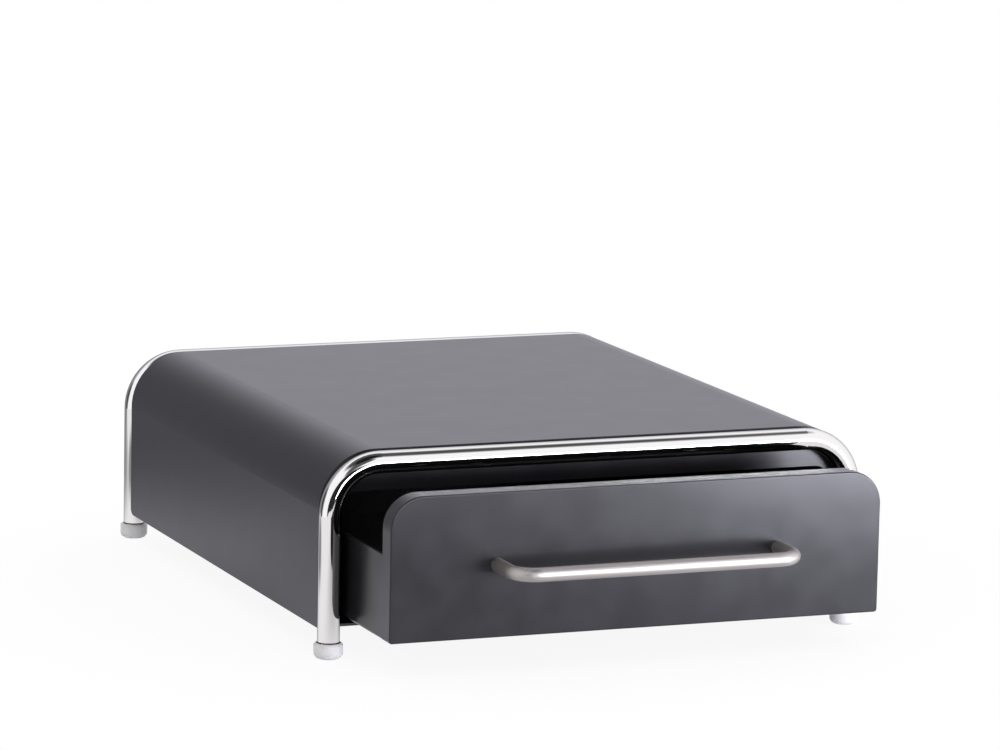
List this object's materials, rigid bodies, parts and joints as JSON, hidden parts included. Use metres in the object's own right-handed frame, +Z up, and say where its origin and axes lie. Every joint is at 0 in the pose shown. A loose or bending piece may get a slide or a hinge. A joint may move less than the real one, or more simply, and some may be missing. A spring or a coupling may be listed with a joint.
{
  "type": "coffee pod drawer",
  "caption": "Low sheet-steel stand with rounded shoulders on bent chrome tube legs, holding a sliding pod drawer with a bar handle; a coffee brewer stands on top.",
  "frame": {"origin": "on the table under the middle of the object's bounding box at rest, with the drawer part way out", "axes": "+Z up, +X to the right of someone facing the drawer, +Y towards the rear; the drawer opens along -Y"},
  "size_m": [0.3339, 0.4604, 0.116],
  "materials": {
    "cover_coat": "satin charcoal powder coat",
    "drawer_coat": "satin charcoal powder coat",
    "chrome_tube": "polished",
    "handle_steel": "brushed",
    "foot_plastic": "translucent white",
    "glide_nylon": "natural nylon",
    "bumper_rubber": "matt",
    "zinc_channel": "zinc plated",
    "zinc_screw": "zinc plated"
  },
  "bodies": {
    "housing": {"cover_shell": "cover_coat", "front_frame": "cover_coat", "rear_panel": "cover_coat", "floor_pan": "cover_coat", "front_hoop": "chrome_tube", "rear_hoop": "chrome_tube", "front_left_foot": "foot_plastic", "front_right_foot": "foot_plastic", "rear_left_foot": "foot_plastic", "rear_right_foot": "foot_plastic", "front_hoop_screws": "zinc_screw", "rear_hoop_screws": "zinc_screw", "left_channel": "zinc_channel", "right_channel": "zinc_channel", "left_front_glide": "glide_nylon", "right_front_glide": "glide_nylon", "rear_bumpers": "bumper_rubber"},
    "drawer": {"drawer_front": "drawer_coat", "front_liner": "drawer_coat", "drawer_box": "drawer_coat", "drawer_back": "drawer_coat", "front_screws": "zinc_screw", "handle": "handle_steel", "handle_screws": "zinc_screw", "handle_washers": "zinc_screw", "left_rear_glide": "glide_nylon", "right_rear_glide": "glide_nylon", "glide_rivets": "zinc_screw"}
  },
  "joints": [
    {"name": "drawer_slide", "type": "slide", "parent": "housing", "child": "drawer", "axis": [0, -1, 0], "range_m": [-0.0585, 0.1815]}
  ]
}
